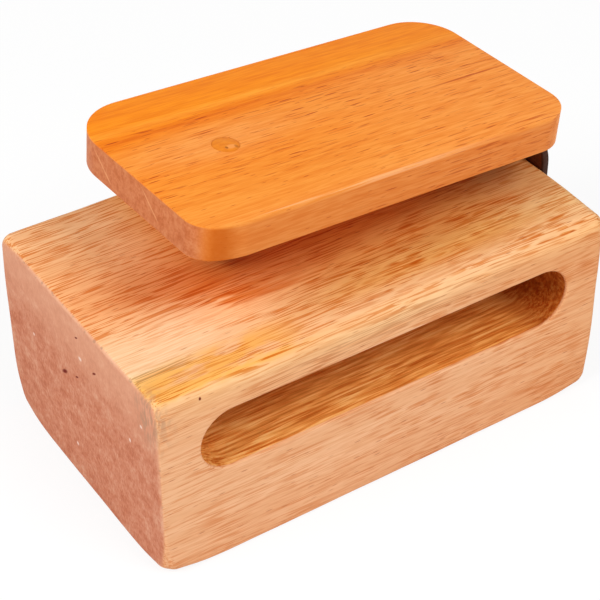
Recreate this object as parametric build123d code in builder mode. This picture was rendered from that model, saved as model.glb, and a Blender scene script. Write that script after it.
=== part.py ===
from build123d import *
import os
from math import cos, radians, sin, tan

# Woodblock with a hinged striker board: a slotted resonator block, a board above it on a
# leather strap, and a turned beater under the board's free end. Millimetres.
# The origin is the centre of the block's underside. X runs along the block towards the
# hinge end, Y from the slotted front to the back, Z up.

# Resonator block
block_length = 160.0
block_depth = 95.5
block_height = 67.4
top_front_round = 6.0
top_back_round = 4.2
base_round = 1.6
free_end_round = 1.6
hinge_end_round = 3.0

# Sound slot in the front of the block
slot_height = 21.4
slot_top_wall = 12.1  # the tongue of wood above the slot, which rings
slot_end_wall = 14.0
slot_back_wall = 25.5
slot_edge_bevel = 0.6

# Striker board
board_length = 135.3
board_width = 71.6
board_thickness = 11.0
free_front_cut_length = 9.8  # the corner is sawn off at a slant, along the front
free_front_cut_width = 4.5  # and along the free end
free_front_corner = 5.0  # rounds where the slant meets the free end
free_front_ease = 10.0  # and where it meets the front
free_back_corner = 17.0
hinge_front_corner = 12.0
hinge_back_corner = 15.0
board_top_round = 2.0
board_bottom_bevel = 1.4
board_setback = 5.6  # from the block's hinge end to the board's
board_gap = 19.9  # from the block's top to the board's underside, at the hinge end
board_tilt = 5.15  # degrees, free end up
board_skew = 3.15  # degrees in the board's own plane, free end to the front

# Leather strap, bent through almost a quarter turn
strap_width = 32.0
strap_thickness = 2.5
strap_block_leg = 28.0
strap_board_leg = 28.0
strap_corner = 4.0
strap_seat = 0.1  # between leather and wood

# Screws and washers that hold the strap
strap_screws_a_side = 2
strap_screw_pitch = 16.0
strap_screw_diameter = 3.5
strap_screw_head_diameter = 6.6
strap_screw_head_height = 2.2
block_screw_length = 16.0
board_screw_length = 10.0
washer_diameter = 10.0
washer_thickness = 0.8
strap_hole_clearance = 0.25

# Beater, the screw that holds it and the plug over the screw
beater_inset = 31.4  # from the board's free end
beater_diameter = 18.0
beater_bevel = 2.5
strike_gap = 4.5  # from the beater to the block when the board is let go
beater_screw_diameter = 4.0
beater_screw_head_diameter = 7.6
countersink_angle = 90.0  # degrees
beater_screw_length = 25.0
plug_diameter = 8.2
plug_depth = 4.0

# Shared by all screws
screw_tip_taper = 1.5  # tip length over diameter
recess_width = 0.9
recess_span_share = 0.55  # of the head's diameter
recess_depth = 1.2
wood_fit = 0.05  # around a shank, a head or a plug
pilot_relief = 0.5  # below a screw's tip

# The board's underside at the hinge end, square to the block, and the board's own plane
tilt_cos = cos(radians(board_tilt))
tilt_sin = sin(radians(board_tilt))
hinge_end = Plane(
    origin=(block_length / 2 - board_setback, 0, block_height + board_gap),
    x_dir=(tilt_cos, 0, -tilt_sin),
    z_dir=(tilt_sin, 0, tilt_cos),
)
board_plane = hinge_end.moved(Location((-board_length / 2, 0, 0), (0, 0, board_skew)))
board_axis = Axis(board_plane.origin, board_plane.z_dir)

# Middle line of the strap in the XZ plane: up the block's end, round, and along under the board
strap_x = block_length / 2 + strap_seat + strap_thickness / 2
under_board = hinge_end.offset(-strap_seat - strap_thickness / 2)
corner_reach = (strap_x - under_board.origin.X) / tilt_cos
strap_corner_point = under_board.from_local_coords((corner_reach, 0, 0))
bend_run = strap_corner_point.Z - block_height
bend_radius = bend_run / tan(radians(90 - board_tilt) / 2)
board_leg_end = under_board.from_local_coords((corner_reach - bend_run - strap_board_leg, 0, 0))

# Where the screws stand: on the strap's outer face at the block, on its lower face at the board
strap_face_at_block = Plane(
    origin=(strap_x + strap_thickness / 2, 0, block_height - strap_block_leg / 2),
    x_dir=(0, 1, 0),
    z_dir=(1, 0, 0),
)
strap_face_at_board = Plane(
    origin=under_board.from_local_coords(
        (corner_reach - bend_run - strap_board_leg / 2, 0, -strap_thickness / 2)
    ),
    x_dir=(0, 1, 0),
    z_dir=-hinge_end.z_dir,
)
strap_stack = strap_seat + strap_thickness

# The beater's seat on the board's underside, and the height of the board above the block there
beater_seat = board_plane.moved(Location((beater_inset - board_length / 2, 0, 0)))
beater_room = beater_seat.origin.Z - block_height
beater_face = beater_diameter / 2 - beater_bevel
beater_length = (beater_room - strike_gap - beater_face * tilt_sin) / tilt_cos
screw_level = beater_seat.offset(board_thickness - plug_depth)


def cross(head_top, head_diameter):
    span = head_diameter * recess_span_share
    with BuildSketch(head_top) as recess:
        Rectangle(recess_width, span)
        Rectangle(span, recess_width)
    return recess.sketch


def strap_screw(length):
    shank = strap_screw_diameter / 2
    head = strap_screw_head_diameter / 2
    with BuildPart() as screw:
        with BuildSketch(Plane.XZ):
            with BuildLine():
                Polyline(
                    (0, -length),
                    (shank, screw_tip_taper * strap_screw_diameter - length),
                    (shank, 0),
                    (head, 0),
                    (head, strap_screw_head_height),
                    (0, strap_screw_head_height),
                    close=True,
                )
            make_face()
        revolve(axis=Axis.Z)
        head_top = Plane.XY.offset(strap_screw_head_height)
        recess = cross(head_top, strap_screw_head_diameter)
        extrude(recess, amount=-recess_depth, mode=Mode.SUBTRACT)
    return screw.part


# Resonator block
with BuildPart() as resonator_block:
    with BuildSketch(Plane.YZ.offset(-block_length / 2)) as block_section:
        with Locations((0, block_height / 2)):
            Rectangle(block_depth, block_height)
        fillet(block_section.vertices().group_by(Axis.Y)[0], base_round)
        fillet(block_section.vertices().group_by(Axis.Y)[-1].sort_by(Axis.X)[0], top_front_round)
        fillet(block_section.vertices().group_by(Axis.Y)[-1].sort_by(Axis.X)[-1], top_back_round)
    extrude(amount=block_length)
    fillet(resonator_block.faces().sort_by(Axis.X)[0].edges(), free_end_round)
    fillet(resonator_block.faces().sort_by(Axis.X)[-1].edges(), hinge_end_round)
    with BuildSketch(Plane.XZ.offset(block_depth / 2)):
        with Locations((0, block_height - slot_top_wall - slot_height / 2)):
            SlotOverall(block_length - 2 * slot_end_wall, slot_height)
    extrude(amount=slot_back_wall - block_depth, mode=Mode.SUBTRACT)
    slot_face = resonator_block.faces().filter_by(Axis.Y).sort_by(Axis.Y)[0]
    chamfer(slot_face.inner_wires().edges(), slot_edge_bevel)
    with Locations(strap_face_at_block.offset(-strap_stack)):
        with GridLocations(strap_screw_pitch, 0, strap_screws_a_side, 1):
            Hole(
                radius=strap_screw_diameter / 2 + wood_fit,
                depth=block_screw_length - strap_stack - washer_thickness + pilot_relief,
            )
resonator_block.part.label = "resonator_block"

# Striker board
with BuildPart() as striker_board:
    with BuildSketch(board_plane) as board_outline:
        with BuildLine():
            Polyline(
                (free_front_cut_length - board_length / 2, -board_width / 2),
                (board_length / 2, -board_width / 2),
                (board_length / 2, board_width / 2),
                (-board_length / 2, board_width / 2),
                (-board_length / 2, free_front_cut_width - board_width / 2),
                close=True,
            )
        make_face()
        fillet(board_outline.vertices().group_by(Axis.X)[0].sort_by(Axis.Y)[0], free_front_corner)
        fillet(board_outline.vertices().group_by(Axis.Y)[0].sort_by(Axis.X)[0], free_front_ease)
        fillet(board_outline.vertices().group_by(Axis.X)[0].sort_by(Axis.Y)[-1], free_back_corner)
        fillet(board_outline.vertices().group_by(Axis.X)[-1].sort_by(Axis.Y)[0], hinge_front_corner)
        fillet(board_outline.vertices().group_by(Axis.X)[-1].sort_by(Axis.Y)[-1], hinge_back_corner)
    extrude(amount=board_thickness)
    fillet(striker_board.faces().sort_by(board_axis)[-1].edges(), board_top_round)
    chamfer(striker_board.faces().sort_by(board_axis)[0].edges(), board_bottom_bevel)
    with Locations(beater_seat.offset(board_thickness)):
        Hole(radius=plug_diameter / 2 + wood_fit, depth=plug_depth)
    with Locations(screw_level):
        CounterSinkHole(
            radius=beater_screw_diameter / 2 + wood_fit,
            counter_sink_radius=beater_screw_head_diameter / 2 + wood_fit,
            counter_sink_angle=countersink_angle,
        )
    with Locations(strap_face_at_board.offset(-strap_stack)):
        with GridLocations(strap_screw_pitch, 0, strap_screws_a_side, 1):
            Hole(
                radius=strap_screw_diameter / 2 + wood_fit,
                depth=board_screw_length - strap_stack - washer_thickness + pilot_relief,
            )
striker_board.part.label = "striker_board"

# Hinge strap
with BuildPart() as hinge_strap:
    with BuildSketch(Plane.XZ):
        with BuildLine():
            FilletPolyline(
                (strap_x, block_height - strap_block_leg),
                (strap_x, strap_corner_point.Z),
                (board_leg_end.X, board_leg_end.Z),
                radius=bend_radius,
            )
        trace(line_width=strap_thickness)
    extrude(amount=strap_width / 2, both=True)
    fillet(hinge_strap.edges().filter_by(Axis.X).group_by(Axis.Z)[0], strap_corner)
    fillet(hinge_strap.edges().filter_by(board_axis).group_by(Axis.X)[0], strap_corner)
    for strap_face in (strap_face_at_block, strap_face_at_board):
        with Locations(strap_face):
            with GridLocations(strap_screw_pitch, 0, strap_screws_a_side, 1):
                Hole(
                    radius=strap_screw_diameter / 2 + strap_hole_clearance,
                    depth=strap_thickness,
                )
hinge_strap.part.label = "hinge_strap"

# Washers and screws of the strap, a pair at each end
with BuildPart() as washer:
    Cylinder(
        radius=washer_diameter / 2,
        height=washer_thickness,
        align=(Align.CENTER, Align.CENTER, Align.MIN),
    )
    Hole(radius=strap_screw_diameter / 2 + strap_hole_clearance)

with BuildPart() as block_strap_washers:
    with Locations(strap_face_at_block):
        with GridLocations(strap_screw_pitch, 0, strap_screws_a_side, 1):
            add(washer.part)
block_strap_washers.part.label = "block_strap_washers"

with BuildPart() as board_strap_washers:
    with Locations(strap_face_at_board):
        with GridLocations(strap_screw_pitch, 0, strap_screws_a_side, 1):
            add(washer.part)
board_strap_washers.part.label = "board_strap_washers"

block_screw = strap_screw(block_screw_length)
with BuildPart() as block_strap_screws:
    with Locations(strap_face_at_block.offset(washer_thickness)):
        with GridLocations(strap_screw_pitch, 0, strap_screws_a_side, 1):
            add(block_screw)
block_strap_screws.part.label = "block_strap_screws"

board_screw = strap_screw(board_screw_length)
with BuildPart() as board_strap_screws:
    with Locations(strap_face_at_board.offset(washer_thickness)):
        with GridLocations(strap_screw_pitch, 0, strap_screws_a_side, 1):
            add(board_screw)
board_strap_screws.part.label = "board_strap_screws"

# Beater: a turned peg with a bevelled face, drilled for its screw
beater_axis = Axis(beater_seat.origin, beater_seat.z_dir)
beater_section = Plane(
    origin=beater_seat.origin, x_dir=beater_seat.x_dir, z_dir=-beater_seat.y_dir
)
with BuildPart() as beater:
    with BuildSketch(beater_section):
        with BuildLine():
            Polyline(
                (0, 0),
                (beater_diameter / 2, 0),
                (beater_diameter / 2, beater_bevel - beater_length),
                (beater_face, -beater_length),
                (0, -beater_length),
                close=True,
            )
        make_face()
    revolve(axis=beater_axis)
    with Locations(beater_seat):
        Hole(
            radius=beater_screw_diameter / 2 + wood_fit,
            depth=beater_screw_length - board_thickness + plug_depth + pilot_relief,
        )
beater.part.label = "beater"

# Countersunk screw of the beater
screw_section = beater_section.moved(Location((0, board_thickness - plug_depth, 0)))
shank = beater_screw_diameter / 2
head = beater_screw_head_diameter / 2
cone = (head - shank) / tan(radians(countersink_angle / 2))
with BuildPart() as beater_screw:
    with BuildSketch(screw_section):
        with BuildLine():
            Polyline(
                (0, -beater_screw_length),
                (shank, screw_tip_taper * beater_screw_diameter - beater_screw_length),
                (shank, -cone),
                (head, 0),
                (0, 0),
                close=True,
            )
        make_face()
    revolve(axis=beater_axis)
    recess = cross(screw_level, beater_screw_head_diameter)
    extrude(recess, amount=-recess_depth, mode=Mode.SUBTRACT)
beater_screw.part.label = "beater_screw"

# Plug over the screw, flush with the top of the board
with BuildPart() as screw_plug:
    with BuildSketch(screw_level):
        Circle(plug_diameter / 2)
    extrude(amount=plug_depth)
screw_plug.part.label = "screw_plug"

os.makedirs("parts", exist_ok=True)
export_step(resonator_block.part, "parts/resonator_block.step")
export_step(striker_board.part, "parts/striker_board.step")
export_step(hinge_strap.part, "parts/hinge_strap.step")
export_step(block_strap_washers.part, "parts/block_strap_washers.step")
export_step(board_strap_washers.part, "parts/board_strap_washers.step")
export_step(block_strap_screws.part, "parts/block_strap_screws.step")
export_step(board_strap_screws.part, "parts/board_strap_screws.step")
export_step(beater.part, "parts/beater.step")
export_step(beater_screw.part, "parts/beater_screw.step")
export_step(screw_plug.part, "parts/screw_plug.step")
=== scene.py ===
import math
import bmesh
import bpy
from mathutils import Matrix, Vector, noise


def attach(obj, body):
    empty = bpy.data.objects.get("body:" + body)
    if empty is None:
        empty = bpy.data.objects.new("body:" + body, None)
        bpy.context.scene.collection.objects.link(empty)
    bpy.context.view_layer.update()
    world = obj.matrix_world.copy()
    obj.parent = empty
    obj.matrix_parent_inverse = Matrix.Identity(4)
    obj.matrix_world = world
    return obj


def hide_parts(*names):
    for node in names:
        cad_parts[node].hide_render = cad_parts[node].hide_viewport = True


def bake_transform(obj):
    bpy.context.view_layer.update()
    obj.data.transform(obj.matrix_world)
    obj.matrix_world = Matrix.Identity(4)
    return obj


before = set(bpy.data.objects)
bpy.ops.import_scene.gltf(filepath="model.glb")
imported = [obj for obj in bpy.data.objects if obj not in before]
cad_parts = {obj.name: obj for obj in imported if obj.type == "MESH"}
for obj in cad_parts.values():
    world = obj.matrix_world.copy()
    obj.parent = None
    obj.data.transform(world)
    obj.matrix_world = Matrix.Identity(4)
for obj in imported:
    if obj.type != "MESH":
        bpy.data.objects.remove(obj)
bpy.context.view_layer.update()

mm = 0.001

# sizes and places that several pieces share, in millimetres and degrees
blockSize = Vector((160, 95.5, 67.4))
boardPose = {"tilt": 5.15, "skew": 3.15, "setback": 5.6, "gap": 19.9}
boardSize = Vector((135.3, 71.6, 11))
plugSet = {"inset": 31.4, "radius": 4.1, "depth": 4, "fit": 0.05, "ease": 0.12}


def placeBoard():
    tilt = Matrix.Rotation(math.radians(boardPose["tilt"]), 4, "Y")
    skew = Matrix.Rotation(math.radians(boardPose["skew"]), 4, "Z")
    corner = Vector((blockSize.x / 2 - boardPose["setback"], 0, blockSize.z + boardPose["gap"]))
    hinge = Matrix.Translation(corner) @ tilt
    return hinge, hinge @ Matrix.Translation((-boardSize.x / 2, 0, 0)) @ skew


hingeEnd, boardPlace = placeBoard()   # underside of the board at the hinge, and at its middle
plugPlace = boardPlace @ Matrix.Translation((plugSet["inset"] - boardSize.x / 2, 0, 0))


# one socket of a finish, with the sums that the finishes use
class Wire:
    def __init__(self, tree, socket=None):
        self.tree = tree
        self.socket = socket

    def node(self, kind, settings={}, values={}, out=0):
        made = self.tree.nodes.new("ShaderNode" + kind)
        for name, value in settings.items():
            if name == "stops":
                fillRamp(made.color_ramp, value)
            else:
                setattr(made, name, value)
        for name, value in values.items():
            if isinstance(value, Wire):
                self.tree.links.new(value.socket, made.inputs[name])
            else:
                made.inputs[name].default_value = value
        return Wire(self.tree, made.outputs[out] if len(made.outputs) else None)

    def math(self, operation, *values):
        return self.node("Math", {"operation": operation}, dict(enumerate(values)))

    def __add__(self, other):
        return self.math("ADD", self, other)

    def __radd__(self, other):
        return self.math("ADD", other, self)

    def __sub__(self, other):
        return self.math("SUBTRACT", self, other)

    def __rsub__(self, other):
        return self.math("SUBTRACT", other, self)

    def __mul__(self, other):
        return self.math("MULTIPLY", self, other)

    def __rmul__(self, other):
        return self.math("MULTIPLY", other, self)

    def __truediv__(self, other):
        return self.math("DIVIDE", self, other)

    def __abs__(self):
        return self.math("ABSOLUTE", self)

    def least(self, other):
        return self.math("MINIMUM", self, other)

    def most(self, other):
        return self.math("MAXIMUM", self, other)

    def step(self, low, high):
        return self.node("MapRange", {"interpolation_type": "SMOOTHSTEP"},
                         {"Value": self, "From Min": low, "From Max": high})

    def xyz(self):
        return [self.node("SeparateXYZ", {}, {0: self}, axis) for axis in "XYZ"]

    def vector(self, operation, *values, out=0):
        return self.node("VectorMath", {"operation": operation}, dict(enumerate(values)), out)

    def ramp(self, stops):
        return self.node("ValToRGB", {"stops": stops}, {"Fac": self})

    def tint(self, share, colour, blend="MIX"):
        other = colour if isinstance(colour, Wire) else (*colour, 1)
        sockets = {0: share, 6: self, 7: other}
        return self.node("Mix", {"data_type": "RGBA", "blend_type": blend}, sockets, 2)

    # the place counted in these lengths, moved off by a seed
    def cells(self, sizes, seed):
        counts = [1 / size for size in sizes]
        shift = (seed * 7.3, seed * 3.1, seed * 5.7)
        return self.vector("MULTIPLY_ADD", self, counts, shift)

    # cloudy pattern with blobs of about these lengths
    def cloud(self, sizes, detail=2, seed=0, out=0):
        sockets = {"Vector": self.cells(sizes, seed), "Scale": 1, "Detail": detail}
        return self.node("TexNoise", {}, sockets, out)

    # the same place, pushed about by a cloud
    def wander(self, sizes, reach, seed=0):
        push = self.cloud(sizes, 1, seed, 1)
        centred = self.vector("SUBTRACT", push, (0.5, 0.5, 0.5))
        return self.vector("MULTIPLY_ADD", centred, reach, self)

    # short dashes, one in each cell of these lengths, some stronger than others
    def dashes(self, sizes, inner, outer, seed=0):
        near = self.node("TexVoronoi", {}, {"Vector": self.cells(sizes, seed), "Scale": 1})
        colour = Wire(self.tree, near.socket.node.outputs["Color"])
        strength = self.node("SeparateColor", {}, {0: colour})
        return near.step(outer, inner) * strength.step(0.1, 0.9)

    # a soft spot round one point, turned about X
    def spot(self, centre, radii, soft=0.4, turn=0):
        away = self.vector("SUBTRACT", self, centre)
        if turn:
            angle = math.radians(turn)
            away = self.node("VectorRotate", {"rotation_type": "X_AXIS"}, {"Vector": away, "Angle": angle})
        scaled = self.vector("DIVIDE", away, radii)
        return self.vector("LENGTH", scaled, out=1).step(1 + soft, 1 - soft)


def fillRamp(ramp, stops):
    while len(ramp.elements) > 1:
        ramp.elements.remove(ramp.elements[-1])
    for index, (place, colour) in enumerate(stops):
        stop = ramp.elements[0] if index == 0 else ramp.elements.new(place)
        stop.position = place
        stop.color = (*colour, 1)


def startFinish(name):
    material = bpy.data.materials.new(name)
    material.use_nodes = True
    material.node_tree.nodes.clear()
    return material, Wire(material.node_tree)


# the surface's place in millimetres, seen from the piece's own middle
def placeOn(root, matrix=Matrix()):
    return root.node("Mapping", {"vector_type": "TEXTURE"}, {
        "Vector": root.node("TexCoord", out=3),
        "Location": matrix.to_translation() * mm,
        "Rotation": matrix.to_euler("XYZ"),
        "Scale": (mm, mm, mm),
    })


# constants such as the gloss come from the finish's own dictionary
def endFinish(root, use, tone, rough, height):
    bump = root.node("Bump", {}, {"Height": height, "Strength": 1, "Distance": use["relief"] * mm})
    values = {"Base Color": tone, "Roughness": rough, "Normal": bump}
    shader = root.node("BsdfPrincipled", {}, {**values, **use["shader"]})
    root.node("OutputMaterial", {}, {"Surface": shader})


# finish of the block
blockWood = {
    "top": [(0.02, (0.88, 0.54, 0.29)), (0.06, (0.88, 0.53, 0.26)), (0.16, (0.91, 0.62, 0.35)),
            (0.27, (0.92, 0.56, 0.29)), (0.37, (0.90, 0.50, 0.24)), (0.45, (0.90, 0.47, 0.21)),
            (0.54, (0.90, 0.46, 0.20)), (0.65, (0.93, 0.51, 0.24)), (0.8, (0.93, 0.53, 0.26)),
            (0.97, (0.93, 0.55, 0.285))],
    "front": [(0.0, (0.82, 0.43, 0.225)), (0.18, (0.87, 0.485, 0.27)), (0.45, (0.88, 0.50, 0.28)),
              (0.74, (0.87, 0.48, 0.26)), (0.89, (0.87, 0.48, 0.25)), (0.95, (0.89, 0.50, 0.25)),
              (1.0, (0.92, 0.56, 0.28))],
    "warm": (0.97, 0.80, 0.45),
    # stain at the free end, also painted shade under the board
    "stain": (0.81, 0.44, 0.18),
    # painted shade under the board
    "fresh": (0.90, 0.72, 0.48),
    "pale": (0.93, 0.70, 0.46),
    "end": [(0.36, (0.47, 0.140, 0.066)), (0.48, (0.56, 0.200, 0.108)), (0.56, (0.60, 0.240, 0.138)),
            (0.66, (0.66, 0.32, 0.20))],
    "endTop": (0.74, 0.37, 0.225),
    "slot": [(0.36, (0.62, 0.205, 0.036)), (0.48, (0.78, 0.310, 0.068)), (0.56, (0.88, 0.41, 0.108)),
             (0.66, (0.96, 0.54, 0.185))],
    # painted shade deep in the slot
    "deep": (0.52, 0.28, 0.12),
    "line": (0.85, 0.66, 0.48),
    "dash": (0.75, 0.40, 0.145),
    "fleck": (0.80, 0.47, 0.16),
    "pore": (0.50, 0.22, 0.10),
    "gold": (0.85, 0.42, 0.068),
    "olive": (0.42, 0.25, 0.09),
    "grey": (0.70, 0.62, 0.58),
    "worn": (0.42, 0.23, 0.14),
    "rubbedAndHighlight": (0.88, 0.54, 0.36),
    "fibre": (0.88, 0.78, 0.68),
    "hingeSide": (0.98, 0.90, 0.80),
    "pit": (0.16, 0.008, 0.0),
    "speck": (0.92, 0.74, 0.64),
    "pits": [((-80, 8.0, 40.8), (2, 2.0, 0.65), 35), ((-80, -12.2, 54.1), (2, 1.2, 0.35), 35),
             ((-80, -2.3, 60.6), (2, 0.9, 0.3), 30), ((-80, -0.2, 44.3), (2, 1.0, 0.3), 30),
             ((-65.7, -47.7, 63.8), (0.35, 2, 0.5), 0)],
    "specks": [((-80, -3.6, 53.6), (2, 0.8, 0.6)), ((-80, 28.2, 41.2), (2, 0.5, 0.5)),
               ((-80, -39.4, 54.4), (2, 0.6, 0.5)), ((-80, -31.9, 43.7), (2, 0.5, 0.6)),
               ((-80, 4.1, 14.7), (2, 0.6, 0.6))],
    "shader": {"Specular IOR Level": 0.04},
    "relief": 0.12,
}


def makeBlockWood():
    use = blockWood
    material, root = startFinish("blockWood")
    place = placeOn(root)
    x, y, z = place.xyz()
    half = blockSize / 2

    # distance to the faces
    fromEnd = half.x - abs(x)
    fromSide = half.y - abs(y)
    fromTop = blockSize.z - z
    fromLevel = fromTop.least(z)
    nearest = fromEnd.least(fromSide).least(fromLevel)
    second = fromEnd.least(fromSide).most(fromEnd.most(fromSide).least(fromLevel))
    isTop = (fromSide - fromTop).step(-2.5, 1.5)
    isFront = y.step(-half.y + 2.5, -half.y + 0.5)
    isInner = nearest.step(0.5, 1.4) * second.step(5, 8)
    isEnd = fromEnd.step(1.0, 0.2)

    # lines, short dashes and pores, all along X
    grain = place.wander((60, 16, 16), (0, 3, 3), 1).wander((18, 5, 5), (0, 0.5, 0.5), 2)
    line = grain.cloud((18, 0.52, 0.52), 1, 3)
    band = grain.cloud((70, 6, 6), 2, 4)
    zone = place.cloud((85, 24, 24), 1, 5)
    fibre = grain.cloud((6, 0.5, 0.5), 1, 6)
    patch = place.cloud((22, 10, 10), 2, 18)
    dash = line.step(0.52, 0.58).most(grain.dashes((11, 0.7, 0.7), 0.18, 0.42, 7))
    dash = dash * (0.45 + 0.55 * patch.step(0.36, 0.56))
    pore = grain.dashes((8, 1.2, 1.2), 0.08, 0.20, 8)
    fleck = grain.dashes((8, 1.5, 1.5), 0.28, 0.52, 9) * x.step(-35, 20) * patch.step(0.38, 0.52)

    # long-grain faces
    across = y + (zone - 0.5) * 12
    up = z + (zone - 0.5) * 20
    top = ((across + 50) / 100).ramp(use["top"])
    wood = (up / blockSize.z).ramp(use["front"]).tint(isTop, top)
    wood = wood.tint(band.step(0.44, 0.62) * 0.3, use["line"], "MULTIPLY")
    warm = x.step(-50, 5) * (1 - 0.5 * x.step(40, 72)) * y.step(-44, -34) * isTop
    wood = wood.tint(warm, use["warm"], "MULTIPLY")
    wood = wood.tint(x.step(15, 70) * isFront, use["hingeSide"], "MULTIPLY")

    # a stain that starts at the free end, and painted shade where it widens under the board's front edge
    streak = grain.cloud((34, 1.8, 1.8), 3, 21).step(0.40, 0.58)
    reach = y + 4 + 0.46 * (x + 75).least(42) + (band - 0.5) * 16 + (streak - 0.5) * 6
    stain = reach.step(-2, 3) * reach.step(34, 8) * x.step(-84, -38)
    stain = stain * (0.12 + 0.88 * x.step(5, -32))
    wood = wood.tint(stain * isTop * (0.6 + 0.35 * streak), use["stain"], "MULTIPLY")

    # painted shade under the board's front edge: the wood there darker and deeper in tone
    fresh = (y + (streak - 0.5) * 4).step(-16, -7) * x.step(-54, -36) * x.step(60, 40) * isTop
    wood = wood.tint(fresh, use["fresh"], "MULTIPLY")

    # lines, dashes and flecks, fewer at the front of the free end
    pale = x.step(-42, -60) * y.step(-10, -22) * y.step(-38, -31) * isTop * 0.5
    wood = wood.tint(pale * 0.8, use["pale"])
    wood = wood.tint(dash * (0.54 + 0.34 * isTop) * (1 - pale), use["dash"], "MULTIPLY")
    wood = wood.tint(fleck * (0.45 + 0.4 * isTop), use["fleck"], "MULTIPLY")
    wood = wood.tint(pore * 0.6, use["pore"], "MULTIPLY")
    wood = wood.tint(fibre.step(0.35, 0.65) * 0.4, use["fibre"], "MULTIPLY")

    # gold blotches along the top's front edge, with dark lines behind them at the free end
    blotch = grain.cloud((11, 3.5, 3.5), 4, 16)
    gold = y.step(-31, -38) * x.step(-20, -45) * isTop * blotch.step(0.34, 0.54)
    wood = wood.tint(gold * 0.75, use["gold"])
    wood = wood.tint(gold * dash, use["dash"], "MULTIPLY")
    dark = abs(y + 36).step(4, 1.5) * x.step(-52, -74) * isTop * line.step(0.48, 0.56)
    wood = wood.tint(dark * 0.6, use["olive"])

    # thin grey lines across the front above the slot
    slant = z - 61 - 0.07 * x
    grey = abs(slant).step(5, 1.5) * abs(x + 2).step(58, 25) * isFront * line.step(0.46, 0.56)
    wood = wood.tint(grey * 0.5, use["grey"], "MULTIPLY")

    # end grain
    mottle = place.wander((6, 6, 6), (3, 3, 3), 19).cloud((6, 7, 5), 3, 11)
    speck = place.cloud((1, 0.8, 1.3), 2, 12)
    end = (mottle * 0.55 + speck * 0.45).ramp(use["end"])
    end = end.tint(z.step(38, 66) * 0.6, use["endTop"])
    wood = wood.tint(isEnd, end)

    # inside the slot, painted shade: darker towards its back and its hinge end
    inner = grain.cloud((16, 1.3, 1.3), 3, 14).ramp(use["slot"])
    inner = inner.tint(dash * 0.75, use["dash"], "MULTIPLY")
    inner = inner.tint(x.step(-20, 35), use["hingeSide"], "MULTIPLY")
    deep = (y.step(-25, 15) * 0.10 + x.step(47, 63) * 0.9).least(1)
    inner = inner.tint(deep, use["deep"], "MULTIPLY")
    wood = wood.tint(isInner, inner)

    # paler where edges are rubbed, with chips, one worn corner, pits and specks
    rubbedAndHighlight = second.step(1.1, 0.3) * place.cloud((5, 5, 5), 3, 15).step(0.3, 0.65)
    wood = wood.tint(rubbedAndHighlight * 0.4, use["rubbedAndHighlight"])
    chip = second.step(1.2, 0.5) * place.cloud((1.3, 1.3, 1.3), 2, 10).step(0.60, 0.68)
    wood = wood.tint(chip * 0.6, use["worn"])
    corner = place.wander((5, 5, 5), (7, 7, 7), 17).spot((-80, -44, 60), (5, 6, 9), 0.7)
    corner = corner * place.cloud((2, 1.2, 5), 3, 20).step(0.40, 0.60)
    wood = wood.tint(corner * 0.7, use["worn"])
    hollow = 0
    for centre, radii, turn in use["pits"]:
        pit = place.spot(centre, radii, 0.5, turn)
        wood = wood.tint(pit, use["pit"])
        hollow = pit + hollow
    for centre, radii in use["specks"]:
        wood = wood.tint(place.spot(centre, radii, 0.6) * 0.7, use["speck"])

    rough = 0.55 + 0.14 * (fibre - 0.5) + 0.2 * isInner
    height = fibre * 0.4 - pore * 0.2 - dash * 0.12 + line * 0.2 + isInner * speck * 2 - hollow * 0.6
    endFinish(root, use, wood, rough, height)
    return material


# finish of the board
boardWood = {
    "bands": [(0.02, (0.89, 0.32, 0.06)), (0.105, (0.88, 0.31, 0.047)), (0.24, (0.88, 0.30, 0.038)),
              (0.43, (0.89, 0.28, 0.027)), (0.54, (0.89, 0.295, 0.034)), (0.63, (0.89, 0.285, 0.027)),
              (0.675, (0.87, 0.245, 0.010)), (0.70, (0.80, 0.19, 0.006)), (0.735, (0.89, 0.255, 0.009)),
              (0.77, (0.96, 0.35, 0.030)), (0.80, (0.92, 0.285, 0.009)), (0.87, (0.92, 0.27, 0.005)),
              (0.98, (0.90, 0.26, 0.005))],
    "end": [(0.36, (0.49, 0.125, 0.036)), (0.5, (0.57, 0.168, 0.057)), (0.64, (0.62, 0.215, 0.083))],
    "side": (0.86, 0.78, 0.90),
    "line": (0.90, 0.70, 0.42),
    "dash": (0.54, 0.185, 0.07),
    "blush": (0.91, 0.325, 0.062),
    "amber": (0.52, 0.098, 0.005),
    "peach": (0.91, 0.36, 0.095),
    # painted highlight along the top of the front edge
    "rubbedAndHighlight": (0.95, 0.46, 0.20),
    "slant": (0.88, 0.44, 0.20),
    "slants": ((12, 3), (-12, 4)),
    "shader": {"Specular IOR Level": 0.06},
    "relief": 0.08,
}


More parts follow.
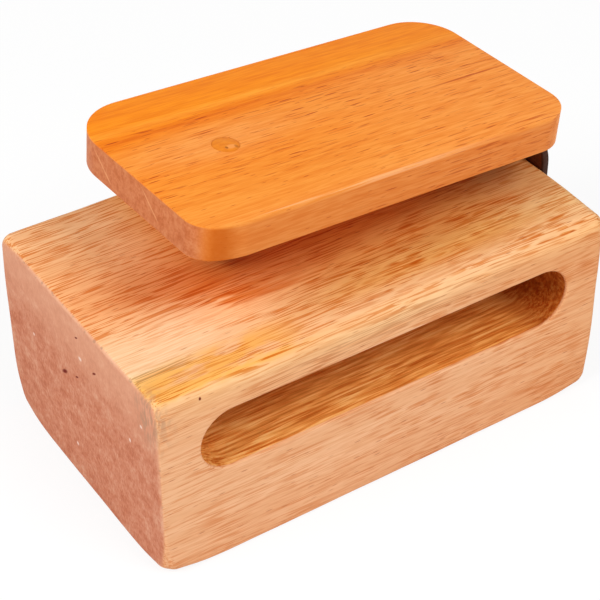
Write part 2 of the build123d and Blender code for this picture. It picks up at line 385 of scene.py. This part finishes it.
def makeBoardWood():
    use = boardWood
    material, root = startFinish("boardWood")
    place = placeOn(root, boardPlace)
    x, y, z = place.xyz()
    half = boardSize / 2
    fromFront = y + half.y
    fromEnd = half.x - abs(x)
    grain = place.wander((70, 20, 20), (0, 2, 2), 21)
    across = grain.xyz()[1]
    line = grain.cloud((30, 1.5, 1.5), 3, 22)
    fine = grain.cloud((8, 0.6, 0.6), 1, 23)
    front = across.step(-18, -26) * x.step(-30, 10)
    where = across.step(22, 16) * (across.step(-26, -12) + front).least(1)
    dash = grain.dashes((15, 1.25, 1.25), 0.10, 0.21, 24) * where
    small = grain.dashes((7, 0.9, 0.9), 0.08, 0.19, 25) * across.step(24, 19)
    thin = grain.cloud((10, 0.55, 0.55), 1, 28).step(0.62, 0.69) * where
    crack = place.spot((52, -3, 11), (14, 0.35, 3), 0.7)

    wood = ((across + 38) / 76).ramp(use["bands"])
    wood = wood.tint(place.spot((-38, 3, 11), (26, 8, 9), 0.8) * 0.6, use["peach"])
    wood = wood.tint(x.step(-30, 45) * across.step(20, 10) * 0.8, use["blush"])
    wood = wood.tint(line.step(0.46, 0.60) * 0.45, use["line"], "MULTIPLY")
    wood = wood.tint(fine.step(0.4, 0.60) * 0.5, use["line"], "MULTIPLY")
    wood = wood.tint(small * 0.7, use["dash"], "MULTIPLY")
    wood = wood.tint(dash.most(crack * 0.8).most(thin * 0.5), use["dash"], "MULTIPLY")

    # the edges took the lacquer darker, and a thin pale line on top of the front one is a painted
    # highlight
    isSide = fromFront.least(fromEnd).step(1.5, 0.3) * z.step(10.6, 9.4)
    wood = wood.tint(isSide, use["side"], "MULTIPLY")
    rubbedAndHighlight = fromFront.step(1.2, 0.6) * z.step(9.8, 10.4) * x.step(50, -10) * x.step(-56, -46)
    wood = wood.tint(rubbedAndHighlight * line.step(0.40, 0.52) * 0.7, use["rubbedAndHighlight"])

    # end grain, with two pale slanting lines at the free end
    mottle = place.cloud((4, 2.2, 3), 3, 26)
    speck = place.cloud((1, 0.7, 0.7), 2, 27)
    end = (mottle * 0.55 + speck * 0.45).ramp(use["end"])
    for y0, z0 in use["slants"]:
        slant = abs(y - y0 - 1.25 * (z - z0)).step(0.8, 0.1) * abs(z - z0 - 2).step(4, 2)
        end = end.tint(slant * x.step(5, -5) * 0.4, use["slant"])
    isEnd = fromEnd.step(5.0, 0.5) * z.step(10.7, 10.2) * z.step(0.02, 0.15)
    wood = wood.tint(isEnd, end)

    # amber on the slanting cut at the front of the free end
    cut = boardSet["cut"]
    slope = math.atan2(cut.y, cut.x)
    reach = (half.x - cut.x) * math.sin(slope) + half.y * math.cos(slope)
    outward = (x * -math.sin(slope)) + (y * -math.cos(slope)) - reach
    amber = outward.step(-2.2, -0.4) * x.step(-54, -61) * z.step(10.8, 9.6) * (1 - isEnd)
    wood = wood.tint(amber * 0.85, use["amber"])

    rough = 0.42 + 0.12 * (fine - 0.5)
    height = fine * 0.25 - dash * 0.2 - small * 0.1
    endFinish(root, use, wood, rough, height)
    return material


# finish of the peg under the board
pegWood = {
    "tones": [(0.3, (0.60, 0.30, 0.14)), (0.6, (0.74, 0.42, 0.21)), (0.8, (0.80, 0.49, 0.27))],
    "pore": (0.6, 0.4, 0.28),
    "shader": {"Specular IOR Level": 0.3},
    "relief": 0.06,
}


def makePegWood():
    material, root = startFinish("pegWood")
    place = placeOn(root, plugPlace)
    lines = place.cloud((1.1, 1.1, 16), 3, 31)
    wood = lines.ramp(pegWood["tones"])
    pore = place.dashes((0.9, 0.9, 6), 0.08, 0.3, 32)
    wood = wood.tint(pore * 0.7, pegWood["pore"], "MULTIPLY")
    rough = 0.5 + 0.1 * (lines - 0.5)
    endFinish(root, pegWood, wood, rough, lines - pore)
    return material


# finish of the plug
plugTone = {
    "tones": [(0.35, (0.74, 0.200, 0.012)), (0.65, (0.82, 0.250, 0.018))],
    "rim": (0.62, 0.16, 0.012),
    "bare": (0.88, 0.34, 0.09),
    "chip": (0.40, 0.11, 0.008),
    "shader": {"Specular IOR Level": 0.06},
    "relief": 0.05,
}


def makePlugFiller():
    material, root = startFinish("plugFiller")
    use = plugTone
    place = placeOn(root, plugPlace)
    out = place.vector("LENGTH", place.vector("MULTIPLY", place, (1, 1, 0)), out=1)
    cloud = place.cloud((2, 1.2, 2), 3, 41)
    tone = cloud.ramp(use["tones"])
    tone = tone.tint(out.step(3.2, 4.1) * 0.4, use["rim"])
    bare = place.spot((0.8, -1.6, 11), (1.6, 1.0, 3))
    tone = tone.tint(bare * 0.7, use["bare"])
    small = place.spot((-0.7, -1.5, 11), (0.4, 0.6, 3))
    faint = place.spot((2.2, -2.3, 11), (0.5, 0.9, 3)) * 0.6
    chip = small.most(faint)
    tone = tone.tint(chip, use["chip"])
    rough = 0.42 + 0.1 * (cloud - 0.5)
    endFinish(root, use, tone, rough, cloud - chip)
    return material


# finish of the strap
leather = {
    "tones": [(0.3, (0.10, 0.024, 0.006)), (0.55, (0.175, 0.040, 0.010)), (0.8, (0.24, 0.060, 0.016))],
    "cutEdge": (0.035, 0.013, 0.007),
    "crease": (0.6, 0.55, 0.5),
    "shader": {"Specular IOR Level": 0.2},
    "relief": 0.12,
}


def makeLeather():
    material, root = startFinish("strapLeather")
    place = placeOn(root)
    cloud = place.cloud((9, 9, 9), 4, 51)
    uneven = place.wander((2, 2, 2), (0.6, 0.6, 0.6), 52)
    pebble = root.node("TexVoronoi", {}, {"Vector": uneven, "Scale": 0.9})
    tone = cloud.ramp(leather["tones"])
    tone = tone.tint(pebble.step(0.6, 0.2) * 0.3, leather["crease"], "MULTIPLY")
    fromMiddle = abs(place.xyz()[1])
    half = strapSet["width"] / 2
    atEdge = fromMiddle.step(half - 1.0, half - 0.6)
    tone = tone.tint(atEdge * 0.85, leather["cutEdge"])
    rough = 0.62 + 0.2 * (cloud - 0.5)
    endFinish(root, leather, tone, rough, pebble)
    return material


# finish of the screws and washers
steel = {
    "tones": [(0.3, (0.52, 0.52, 0.53)), (0.7, (0.70, 0.70, 0.71))],
    "shader": {"Metallic": 1},
    "relief": 0.01,
}


def makeSteel():
    material, root = startFinish("zincSteel")
    place = placeOn(root)
    cloud = place.cloud((3, 3, 3), 4, 61)
    scratch = place.cloud((0.15, 4, 4), 2, 62)
    tone = cloud.ramp(steel["tones"])
    rough = 0.3 + 0.25 * (cloud - 0.4)
    endFinish(root, steel, tone, rough, scratch)
    return material


# a mesh in millimetres becomes a piece of the object
def finishPiece(bm, name, finish, node, sharpAngle=35):
    bmesh.ops.remove_doubles(bm, verts=bm.verts, dist=0.0005)
    bmesh.ops.recalc_face_normals(bm, faces=bm.faces)
    bmesh.ops.scale(bm, vec=(mm, mm, mm), verts=bm.verts)
    for face in bm.faces:
        face.smooth = True
    mesh = bpy.data.meshes.new(name)
    bm.to_mesh(mesh)
    bm.free()
    mesh.set_sharp_from_angle(angle=math.radians(sharpAngle))
    mesh.materials.append(finishes[finish])
    piece = bpy.data.objects.new(name, mesh)
    bpy.context.scene.collection.objects.link(piece)
    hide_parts(node)
    print(name, "made with", len(mesh.polygons), "faces")
    return piece


# runs one modifier on a mesh and gives back the result
def applyModifier(bm, kind, settings, tool=None):
    made = []
    for source in [bm] + ([tool] if tool else []):
        mesh = bpy.data.meshes.new("rough")
        source.to_mesh(mesh)
        source.free()
        made.append(bpy.data.objects.new("rough", mesh))
        bpy.context.scene.collection.objects.link(made[-1])
    modifier = made[0].modifiers.new("shape", kind)
    for key, value in settings.items():
        setattr(modifier, key, value)
    if tool:
        modifier.object = made[1]
    bpy.context.view_layer.update()
    ready = made[0].evaluated_get(bpy.context.evaluated_depsgraph_get())
    mesh = bpy.data.meshes.new_from_object(ready)
    result = bmesh.new()
    result.from_mesh(mesh)
    for piece in made:
        bpy.data.objects.remove(piece)
    return result


def cutAway(bm, tool):
    return applyModifier(bm, "BOOLEAN", {"operation": "DIFFERENCE", "solver": "EXACT"}, tool)


def addCylinder(bm, radius, depth, matrix, segments=32):
    middle = matrix @ Matrix.Translation((0, 0, -depth / 2))
    bmesh.ops.create_cone(bm, cap_ends=True, segments=segments, radius1=radius, radius2=radius,
                          depth=depth, matrix=middle)


# block: hand-sanded edges, so each edge and corner has its own round
blockSet = {
    "cuts": 100,
    "crowding": 0.8,
    "edges": {   # axis, then the signs of the other two; round at the low end and at the high end
        "x-+": (4.2, 5.4), "x++": (4.2, 4.2), "x--": (1.5, 1.8), "x+-": (1.6, 1.6),
        "y-+": (1.2, 1.2), "y++": (3.0, 3.0), "y--": (2.0, 2.0), "y+-": (2.5, 2.5),
        "z--": (1.2, 1.2), "z-+": (2.5, 2.5), "z+-": (3.0, 3.0), "z++": (3.0, 3.0),
    },
    "corners": {
        "---": 5.5, "--+": 3.0, "-+-": 8.0, "-++": 3.8,
        "+--": 5.0, "+-+": 4.6, "++-": 4.0, "+++": 5.0,
    },
    "cornerReach": 11,
    "unevenness": 0.12,
}
slotSet = {"height": 21.4, "topWall": 12.1, "endWall": 14, "backWall": 25.5, "lip": 0.6, "steps": 64}
pilotSet = {"radius": 1.8, "depth": 13.2, "pitch": 16, "height": 53.4}


def roundAt(point, half):
    signs = ["-" if value < 0 else "+" for value in point]
    inside = [half[axis] - abs(point[axis]) for axis in range(3)]
    along = inside.index(max(inside))
    key = "xyz"[along] + "".join(signs[axis] for axis in range(3) if axis != along)
    low, high = blockSet["edges"][key]
    share = (point[along] / half[along] + 1) / 2
    edge = low + (high - low) * share
    corner = blockSet["corners"]["".join(signs)]
    near = math.exp(-((inside[along] / blockSet["cornerReach"]) ** 2))
    wobble = 1 + blockSet["unevenness"] * noise.noise(point / 13)
    return (edge + (corner - edge) * near) * wobble


def sandEdges(bm, half):
    crowd = blockSet["crowding"]
    for vert in bm.verts:
        shares = [vert.co[axis] / half[axis] for axis in range(3)]
        eased = [t + crowd * math.sin(math.pi * t) / math.pi for t in shares]
        point = Vector([eased[axis] * half[axis] for axis in range(3)])
        r = roundAt(point, half)
        core = Vector([max(-half[axis] + r, min(half[axis] - r, point[axis])) for axis in range(3)])
        away = point - core
        if away.length > 0:
            point = core + away.normalized() * r
        vert.co = point + Vector((0, 0, half.z))


def slotRing(bm, radius, y, cap=False):
    straight = blockSize.x / 2 - slotSet["endWall"] - slotSet["height"] / 2
    level = blockSize.z - slotSet["topWall"] - slotSet["height"] / 2
    turn = Matrix.Rotation(math.radians(90), 4, "X") @ Matrix.Rotation(math.pi / slotSet["steps"], 4, "Z")
    ring = bmesh.ops.create_circle(bm, cap_ends=cap, segments=slotSet["steps"], radius=radius, matrix=turn)
    for vert in ring["verts"]:
        vert.co += Vector((math.copysign(straight, vert.co.x), y, level))
    return {edge for vert in ring["verts"] for edge in vert.link_edges}


def makeSlotTool():
    tool = bmesh.new()
    front = -blockSize.y / 2
    radius = slotSet["height"] / 2
    lip = slotSet["lip"]
    steps = [(blockSize.y / 2 - slotSet["backWall"], 0)]
    for angle in (0, 30, 60, 90):   # the lip turns outwards like a quarter circle
        turn = math.radians(angle)
        steps.append((front + lip * (1 - math.sin(turn)), lip * (1 - math.cos(turn))))
    steps.append((front - 2, lip))
    rings = [slotRing(tool, radius + grow, y, index in (0, len(steps) - 1))
             for index, (y, grow) in enumerate(steps)]
    for first, second in zip(rings, rings[1:]):
        bmesh.ops.bridge_loops(tool, edges=list(first | second))
    for side in (-1, 1):
        place = Matrix.Translation((blockSize.x / 2 + 1, side * pilotSet["pitch"] / 2, pilotSet["height"]))
        place = place @ Matrix.Rotation(math.pi / 2, 4, "Y")
        addCylinder(tool, pilotSet["radius"], pilotSet["depth"] + 1, place)
    bmesh.ops.recalc_face_normals(tool, faces=tool.faces)
    return tool


def makeBlock():
    half = blockSize / 2
    bm = bmesh.new()
    bmesh.ops.create_cube(bm, size=1)
    bmesh.ops.scale(bm, vec=blockSize, verts=bm.verts)
    bmesh.ops.subdivide_edges(bm, edges=bm.edges, cuts=blockSet["cuts"], use_grid_fill=True)
    sandEdges(bm, half)
    bm = cutAway(bm, makeSlotTool())
    piece = finishPiece(bm, "woodBlock", "block", "resonator_block")
    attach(piece, "block")


# board: its front corner at the free end is cut at a slant, the others are round
boardSet = {
    "cut": Vector((9.8, 4.5)),   # along the front and along the end
    "corners": {"cutEnd": 5.2, "cutFront": 5.2, "hingeFront": 12, "hingeBack": 15, "freeBack": 17},
    "cornerSteps": 18,
    "endRound": 1.0,
    "frontRound": (1.2, 2.2),   # at the free end and at the hinge
    "bottomRound": (3.0, 1.5),   # at the slanting cut and elsewhere
    "cutReach": 16,
    "endReach": 13,
    "widestRound": 3,
    "roundSteps": 5,
    "holeSteps": 48,
}


def lowerRound(middle, half):
    near, other = boardSet["bottomRound"]
    away = (middle - Vector((-half.x, -half.y, 0))).length
    return other + (near - other) * math.exp(-((away / boardSet["cutReach"]) ** 2))


def upperRound(middle, half):
    fromEnd = min(1, max(0, (middle.x + half.x) / boardSet["endReach"]))
    share = fromEnd * fromEnd * (3 - 2 * fromEnd)
    low, high = boardSet["frontRound"]
    front = low + (high - low) * (middle.x / half.x + 1) / 2
    return boardSet["endRound"] + (front - boardSet["endRound"]) * share


def makeBoard():
    half = boardSize / 2
    cut = boardSet["cut"]
    bm = bmesh.new()
    outline = {
        "cutEnd": (-half.x, cut.y - half.y),
        "cutFront": (cut.x - half.x, -half.y),
        "hingeFront": (half.x, -half.y),
        "hingeBack": (half.x, half.y),
        "freeBack": (-half.x, half.y),
    }
    corners = {name: bm.verts.new((x, y, 0)) for name, (x, y) in outline.items()}
    bm.faces.new(corners.values())
    for name, vert in corners.items():
        bmesh.ops.bevel(bm, geom=[vert], offset=boardSet["corners"][name], offset_type="OFFSET",
                        segments=boardSet["cornerSteps"], profile=0.5, affect="VERTICES", material=-1)
    raised = bmesh.ops.extrude_face_region(bm, geom=list(bm.faces), use_keep_orig=True)
    topVerts = [item for item in raised["geom"] if isinstance(item, bmesh.types.BMVert)]
    bmesh.ops.translate(bm, vec=(0, 0, boardSize.z), verts=topVerts)
    bmesh.ops.recalc_face_normals(bm, faces=bm.faces)
    widest = boardSet["widestRound"]
    weight = bm.edges.layers.float.new("bevel_weight_edge")
    for edge in bm.edges:
        middle = (edge.verts[0].co + edge.verts[1].co) / 2
        if edge.verts[0].co.z == edge.verts[1].co.z:
            width = upperRound(middle, half) if middle.z > half.z else lowerRound(middle, half)
            edge[weight] = width / widest
    rounds = {"limit_method": "WEIGHT", "width": widest, "segments": boardSet["roundSteps"]}
    bm = applyModifier(bm, "BEVEL", rounds)
    hole = bmesh.new()
    above = Matrix.Translation((plugSet["inset"] - half.x, 0, boardSize.z + 1))
    radius = plugSet["radius"] + plugSet["fit"]
    addCylinder(hole, radius, plugSet["depth"] + 1, above, boardSet["holeSteps"])
    bm = cutAway(bm, hole)
    bmesh.ops.transform(bm, matrix=boardPlace, verts=bm.verts)
    piece = finishPiece(bm, "strikerBoard", "board", "striker_board", sharpAngle=40)
    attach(piece, "board")


# turned pieces: a profile spun round Z, with its sharp edges eased
def turnPiece(profile, matrix, ease, steps=64):
    bm = bmesh.new()
    verts = [bm.verts.new((r, 0, z)) for r, z in profile]
    edges = [bm.edges.new(pair) for pair in zip(verts, verts[1:])]
    bmesh.ops.spin(bm, geom=verts + edges, axis=(0, 0, 1), cent=(0, 0, 0), steps=steps,
                   angle=math.tau, use_merge=True)
    bmesh.ops.remove_doubles(bm, verts=bm.verts, dist=0.0005)
    bmesh.ops.recalc_face_normals(bm, faces=bm.faces)
    sharp = [e for e in bm.edges if len(e.link_faces) == 2 and e.calc_face_angle() > math.radians(30)]
    bmesh.ops.bevel(bm, geom=sharp, offset=ease, offset_type="OFFSET", segments=3, profile=0.5,
                    affect="EDGES", material=-1)
    bmesh.ops.transform(bm, matrix=matrix, verts=bm.verts)
    return bm


# peg: its length leaves the gap over which it swings before it strikes the block
pegSet = {"radius": 9, "bevel": 2.5, "strikeGap": 4.5, "ease": 0.5}


def makePeg():
    tilt = math.radians(boardPose["tilt"])
    radius = pegSet["radius"]
    face = radius - pegSet["bevel"]
    room = plugPlace.to_translation().z - blockSize.z
    length = (room - pegSet["strikeGap"] - face * math.sin(tilt)) / math.cos(tilt)
    profile = [(0, 0), (radius, 0), (radius, pegSet["bevel"] - length), (face, -length), (0, -length)]
    bm = turnPiece(profile, plugPlace, pegSet["ease"])
    piece = finishPiece(bm, "beaterPeg", "peg", "beater")
    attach(piece, "board")


def makePlug():
    top = boardSize.z
    low = top - plugSet["depth"]
    radius = plugSet["radius"]
    profile = [(0, low), (radius, low), (radius, top), (0, top)]
    bm = turnPiece(profile, plugPlace, plugSet["ease"])
    piece = finishPiece(bm, "holePlug", "plug", "screw_plug")
    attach(piece, "board")


# strap: flat leather bent up from the block's end and under the board
strapSet = {
    "width": 32,
    "thickness": 2.5,
    "leg": 28,
    "corner": 4,
    "seat": 0.1,
    "rows": 72,
    "columns": 24,
    "edgeRound": 0.5,
    "waviness": 0.35,
    "waveLength": 6,
}


def strapLine():
    tilt = math.radians(boardPose["tilt"])
    x = blockSize.x / 2 + strapSet["seat"] + strapSet["thickness"] / 2
    under = hingeEnd @ Vector((0, 0, -strapSet["seat"] - strapSet["thickness"] / 2))
    rise = under.z - (x - under.x) * math.tan(tilt) - blockSize.z
    turn = math.radians(90) - tilt
    return {"x": x, "turn": turn, "radius": rise / math.tan(turn / 2)}


strapBend = strapLine()


# a point on the strap: how far along it, across it, and out from its middle
def strapPoint(along, across, out):
    bend = strapBend
    arc = bend["radius"] * bend["turn"]
    middle = Vector((bend["x"] - bend["radius"], 0, blockSize.z))
    if along < strapSet["leg"]:
        return Vector((bend["x"] + out, across, blockSize.z - strapSet["leg"] + along))
    angle = min(along - strapSet["leg"], arc) / bend["radius"]
    facing = Vector((math.cos(angle), 0, math.sin(angle)))
    onward = Vector((-math.sin(angle), 0, math.cos(angle))) * max(0, along - strapSet["leg"] - arc)
    return middle + facing * (bend["radius"] + out) + onward + Vector((0, across, 0))


def makeStrap():
    arc = strapBend["radius"] * strapBend["turn"]
    length = 2 * strapSet["leg"] + arc
    half = strapSet["width"] / 2
    corner = strapSet["corner"]
    bm = bmesh.new()
    bmesh.ops.create_grid(bm, x_segments=strapSet["rows"], y_segments=strapSet["columns"], size=0.5)
    bmesh.ops.translate(bm, vec=(0.5, 0, 0), verts=bm.verts)
    bmesh.ops.scale(bm, vec=(length, strapSet["width"], 1), verts=bm.verts)
    for vert in bm.verts:
        end = min(vert.co.x, length - vert.co.x)
        lost = corner - math.sqrt(max(0, corner ** 2 - max(0, corner - end) ** 2))
        # each long edge has its own row of the noise
        spot = Vector((vert.co.x / strapSet["waveLength"], math.copysign(9, vert.co.y), 0))
        wave = strapSet["waviness"] * noise.noise(spot)
        vert.co.y *= (half - lost - abs(wave)) / half
    bmesh.ops.solidify(bm, geom=list(bm.faces), thickness=strapSet["thickness"])
    lowest = min(vert.co.z for vert in bm.verts)
    bmesh.ops.translate(bm, vec=(0, 0, -lowest - strapSet["thickness"] / 2), verts=bm.verts)
    bmesh.ops.recalc_face_normals(bm, faces=bm.faces)
    rim = [e for e in bm.edges if len(e.link_faces) == 2 and e.calc_face_angle() > math.radians(60)]
    bmesh.ops.bevel(bm, geom=rim, offset=strapSet["edgeRound"], offset_type="OFFSET", segments=3,
                    profile=0.5, affect="EDGES", material=-1)
    for vert in bm.verts:
        vert.co = strapPoint(*vert.co)
    piece = finishPiece(bm, "leatherStrap", "leather", "hinge_strap", sharpAngle=60)
    start = strapPoint(strapSet["leg"], 0, 0) * mm
    end = strapPoint(strapSet["leg"] + arc, 0, 0) * mm
    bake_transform(piece)


# screws and washers of the strap
screwSet = {
    "shank": 1.75,
    "head": 3.3,
    "headHeight": 2.2,
    "tip": 5.25,
    "pitch": 16,
    "blockLength": 16,
    "boardLength": 10,
    "recess": 0.9,
    "recessSpan": 3.6,
    "recessDepth": 1.2,
    "turns": (12, 57),
    "ease": 0.12,
    "steps": 48,
}
washerSet = {"radius": 5, "hole": 2, "thickness": 0.8, "ease": 0.12}


def screwPlaces():
    out = strapSet["thickness"] / 2
    arc = strapBend["radius"] * strapBend["turn"]
    atBlock = strapPoint(strapSet["leg"] / 2, 0, out)
    atBoard = strapPoint(strapSet["leg"] * 1.5 + arc, 0, -out)
    toBlock = Matrix.Rotation(math.pi / 2, 4, "Y")
    toBoard = Matrix.Rotation(math.radians(boardPose["tilt"]), 4, "Y") @ Matrix.Rotation(math.pi, 4, "X")
    places = {}
    for name, origin, turn in (("block", atBlock, toBlock), ("board", atBoard, toBoard)):
        places[name] = [Matrix.Translation(origin + Vector((0, side * screwSet["pitch"] / 2, 0))) @ turn
                        for side in (-1, 1)]
    return places


def joinMeshes(meshes):
    whole = bmesh.new()
    for bm in meshes:
        mesh = bpy.data.meshes.new("part")
        bm.to_mesh(mesh)
        bm.free()
        whole.from_mesh(mesh)
    return whole


def makeScrew(length, matrix, turn):
    use = screwSet
    h = use["headHeight"]
    r = use["head"]
    profile = [(0, -length), (use["shank"], use["tip"] - length), (use["shank"], 0), (r, 0), (r, 0.45 * h),
               (0.93 * r, 0.72 * h), (0.76 * r, 0.92 * h), (0.5 * r, h), (0, h)]
    bm = turnPiece(profile, Matrix(), use["ease"], use["steps"])
    for angle in (turn, turn + 90):
        bar = bmesh.new()
        bmesh.ops.create_cube(bar, size=1)
        for vert in bar.verts:   # narrower at the bottom of the recess
            low = vert.co.z < 0
            vert.co = Vector((vert.co.x * use["recessSpan"] * (0.55 if low else 1),
                              vert.co.y * use["recess"] * (0.7 if low else 1),
                              h - use["recessDepth"] if low else h + 0.5))
        about = Matrix.Rotation(math.radians(angle), 3, "Z")
        bmesh.ops.rotate(bar, cent=(0, 0, 0), matrix=about, verts=bar.verts)
        bm = cutAway(bm, bar)
    onWasher = matrix @ Matrix.Translation((0, 0, washerSet["thickness"]))
    bmesh.ops.transform(bm, matrix=onWasher, verts=bm.verts)
    return bm


def makeFasteners():
    places = screwPlaces()
    inner, outer, thick = (washerSet[name] for name in ("hole", "radius", "thickness"))
    ring = [(inner, 0), (outer, 0), (outer, thick), (inner, thick), (inner, 0)]
    for body in ("block", "board"):
        length = screwSet[body + "Length"]
        screws = [makeScrew(length, place, turn) for place, turn in zip(places[body], screwSet["turns"])]
        bm = joinMeshes(screws)
        piece = finishPiece(bm, body + "Screws", "steel", body + "_strap_screws")
        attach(piece, body)
        washers = [turnPiece(ring, place, washerSet["ease"]) for place in places[body]]
        bm = joinMeshes(washers)
        piece = finishPiece(bm, body + "Washers", "steel", body + "_strap_washers")
        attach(piece, body)

    # the screw under the plug keeps its own shape
    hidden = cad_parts["beater_screw"].data
    hidden.materials.clear()
    hidden.materials.append(finishes["steel"])


finishes = {
    "block": makeBlockWood(),
    "board": makeBoardWood(),
    "peg": makePegWood(),
    "plug": makePlugFiller(),
    "leather": makeLeather(),
    "steel": makeSteel(),
}
print("finishes ready")

makeBlock()
makeBoard()
makePeg()
makePlug()
makeStrap()
makeFasteners()
print("pieces ready")

# camera of the photograph
cameraSet = {
    "place": (-0.24454, -0.36976, 0.38794),
    "turn": (51.716, 0.115, -33.383),
    "lens": 107.9,
    "sensor": 36,
}


def makeCamera():
    data = bpy.data.cameras.new("photoCamera")
    data.lens = cameraSet["lens"]
    data.sensor_width = cameraSet["sensor"]
    data.clip_start = 0.01
    camera = bpy.data.objects.new("photoCamera", data)
    camera.location = cameraSet["place"]
    camera.rotation_euler = [math.radians(a) for a in cameraSet["turn"]]
    bpy.context.scene.collection.objects.link(camera)
    bpy.context.scene.camera = camera
    print("camera placed")


# a white floor, an even sky and two soft lamps, at the front and at the free end's side
stageSet = {
    "floor": 6.0,
    "floorTone": 0.88,
    "glow": 0.85,
    "sky": 0.43,
    "aim": Vector((0, 0, 0.05)),
    "lamps": {
        "front": {"from": (0.14, -0.73, 0.93), "size": 0.45, "power": 5.8},
        "side": {"from": (-0.85, -0.10, 0.85), "size": 0.5, "power": 7.2},
    },
}


def seenDirectly(root):
    path = {name: root.node("LightPath", out=name) for name in
            ("Is Camera Ray", "Is Glossy Ray", "Is Transmission Ray")}
    return path["Is Camera Ray"].most(path["Is Glossy Ray"]).most(path["Is Transmission Ray"])


def makeFloor():
    material, root = startFinish("whiteFloor")
    tone = stageSet["floorTone"]
    plain = root.node("BsdfDiffuse", {}, {"Color": (tone, tone, tone, 1)})
    white = root.node("BsdfDiffuse", {}, {"Color": (1, 1, 1, 1)})
    glow = root.node("Emission", {}, {"Color": (1, 1, 1, 1), "Strength": 1})
    bright = root.node("MixShader", {}, {0: stageSet["glow"], 1: white, 2: glow})
    surface = root.node("MixShader", {}, {0: seenDirectly(root), 1: plain, 2: bright})
    root.node("OutputMaterial", {}, {"Surface": surface})
    bm = bmesh.new()
    bmesh.ops.create_grid(bm, x_segments=1, y_segments=1, size=stageSet["floor"] / 2)
    mesh = bpy.data.meshes.new("floor")
    bm.to_mesh(mesh)
    bm.free()
    mesh.materials.append(material)
    floor = bpy.data.objects.new("floor", mesh)
    bpy.context.scene.collection.objects.link(floor)


def makeLight():
    world = bpy.data.worlds.new("studio")
    bpy.context.scene.world = world
    world.use_nodes = True
    world.node_tree.nodes.clear()
    root = Wire(world.node_tree)
    even = root.node("Background", {}, {"Color": (1, 1, 1, 1), "Strength": stageSet["sky"]})
    white = root.node("Background", {}, {"Color": (1, 1, 1, 1), "Strength": 1})
    surface = root.node("MixShader", {}, {0: seenDirectly(root), 1: even, 2: white})
    root.node("OutputWorld", {}, {"Surface": surface})
    for name, lamp in stageSet["lamps"].items():
        data = bpy.data.lights.new(name, "AREA")
        data.energy = lamp["power"]
        data.size = lamp["size"]
        light = bpy.data.objects.new(name, data)
        light.location = lamp["from"]
        aim = stageSet["aim"] - light.location
        light.rotation_euler = aim.to_track_quat("-Z", "Y").to_euler()
        bpy.context.scene.collection.objects.link(light)
    print("stage lit")


bpy.context.scene.view_settings.view_transform = "Standard"
makeCamera()
makeFloor()
makeLight()
